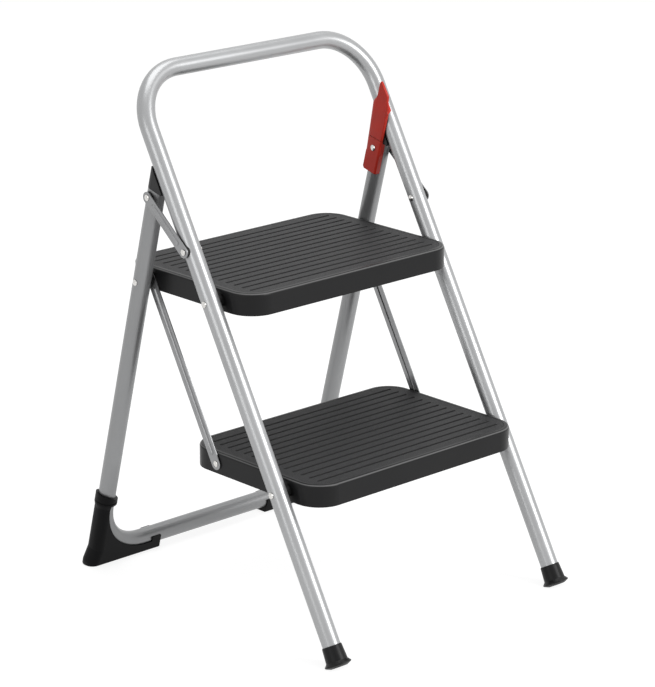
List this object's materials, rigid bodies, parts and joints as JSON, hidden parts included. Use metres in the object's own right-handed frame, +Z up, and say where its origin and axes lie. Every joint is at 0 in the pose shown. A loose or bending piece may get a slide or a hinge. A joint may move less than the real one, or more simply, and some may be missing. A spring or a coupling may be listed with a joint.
{
  "type": "folding step stool",
  "caption": "Folding step stool of bent tube with two ribbed platforms, a hoop handrail, side links and hang bars, moulded feet and a latch on one leg.",
  "frame": {"origin": "on the floor at the middle of the open stool's footprint box", "axes": "+Z up, +X to the user's right when facing the steps from the front, -Y to the front where the user climbs"},
  "size_m": [0.4604, 0.5394, 0.742],
  "materials": {
    "tube_paint": "satin silver powder paint",
    "strip_paint": "satin silver paint over pressed strip",
    "step_paint": "satin charcoal paint",
    "step_mat": "matte, finely grained",
    "black_moulding": "fine moulded grain",
    "black_spacer": "plain moulded",
    "red_moulding": "semi-gloss moulded",
    "rivet_steel": "bright zinc plated"
  },
  "bodies": {
    "front_frame": {"front_hoop": "tube_paint", "front_foot_right": "black_moulding", "front_foot_left": "black_moulding", "step_pivot_rivets": "rivet_steel", "step_pivot_spacers": "black_spacer", "link_pivot_rivets": "rivet_steel", "link_pivot_washers": "black_spacer"},
    "rear_frame": {"rear_frame_tube": "tube_paint", "rear_shoe_right": "black_moulding", "rear_shoe_left": "black_moulding", "rear_cap_right": "black_moulding", "rear_cap_left": "black_moulding", "rear_pivot_rivets": "rivet_steel", "rear_pivot_spacers": "black_spacer", "latch_clip": "red_moulding", "latch_rivet": "rivet_steel", "leg_end_rivet": "rivet_steel"},
    "latch": {"latch_lever": "red_moulding"},
    "upper_step": {"upper_step": "step_paint", "upper_mat": "step_mat"},
    "lower_step": {"lower_step": "step_paint", "lower_mat": "step_mat", "hang_bar_rivets": "rivet_steel"},
    "hang_bar_right": {"hang_bar_right": "strip_paint"},
    "hang_bar_left": {"hang_bar_left": "strip_paint"},
    "link_right": {"link_right": "strip_paint", "link_end_rivet_right": "rivet_steel", "link_end_washer_right": "black_spacer"},
    "link_left": {"link_left": "strip_paint", "link_end_rivet_left": "rivet_steel", "link_end_washer_left": "black_spacer"}
  },
  "joints": [
    {"name": "fold", "type": "hinge", "parent": "front_frame", "child": "upper_step", "pos_m": [0, -0.00498, 0.446], "axis": [-1, 0, 0], "range_deg": [0, 96], "deforming": ["latch_lever"]},
    {"name": "lower_step_fold", "type": "hinge", "parent": "front_frame", "child": "lower_step", "pos_m": [0, -0.13684, 0.212], "axis": [-1, 0, 0], "range_deg": [0, 96]},
    {"name": "rear_frame_fold", "type": "hinge", "parent": "upper_step", "child": "rear_frame", "pos_m": [0, 0.1387, 0.446], "axis": [-1, 0, 0], "range_deg": [-51.4, 0]},
    {"name": "hang_bar_right_turn", "type": "hinge", "parent": "lower_step", "child": "hang_bar_right", "pos_m": [0.193, 0.00685, 0.212], "axis": [-1, 0, 0], "range_deg": [-96, 0]},
    {"name": "hang_bar_left_turn", "type": "hinge", "parent": "lower_step", "child": "hang_bar_left", "pos_m": [-0.193, 0.00685, 0.212], "axis": [-1, 0, 0], "range_deg": [-96, 0]},
    {"name": "link_right_turn", "type": "hinge", "parent": "front_frame", "child": "link_right", "pos_m": [0.2245, 0.03164, 0.511], "axis": [-1, 0, 0], "range_deg": [0, 121.53]},
    {"name": "link_left_turn", "type": "hinge", "parent": "front_frame", "child": "link_left", "pos_m": [-0.2245, 0.03164, 0.511], "axis": [-1, 0, 0], "range_deg": [0, 121.53]},
    {"name": "latch_flex", "type": "hinge", "parent": "rear_frame", "child": "latch", "pos_m": [0.1933, 0.10184, 0.58651], "axis": [0, -0.9673, -0.2538], "range_deg": [0, 12], "stiffness_Nm_per_rad": 1}
  ],
  "couplings": [
    {"joint": "lower_step_fold", "follows": "fold", "ratio": 1},
    {"joint": "rear_frame_fold", "follows": "fold", "ratio": -0.53537},
    {"joint": "hang_bar_right_turn", "follows": "fold", "ratio": -1},
    {"joint": "hang_bar_left_turn", "follows": "fold", "ratio": -1},
    {"joint": "link_right_turn", "follows": "fold", "ratio": 1.2659},
    {"joint": "link_left_turn", "follows": "fold", "ratio": 1.2659}
  ]
}
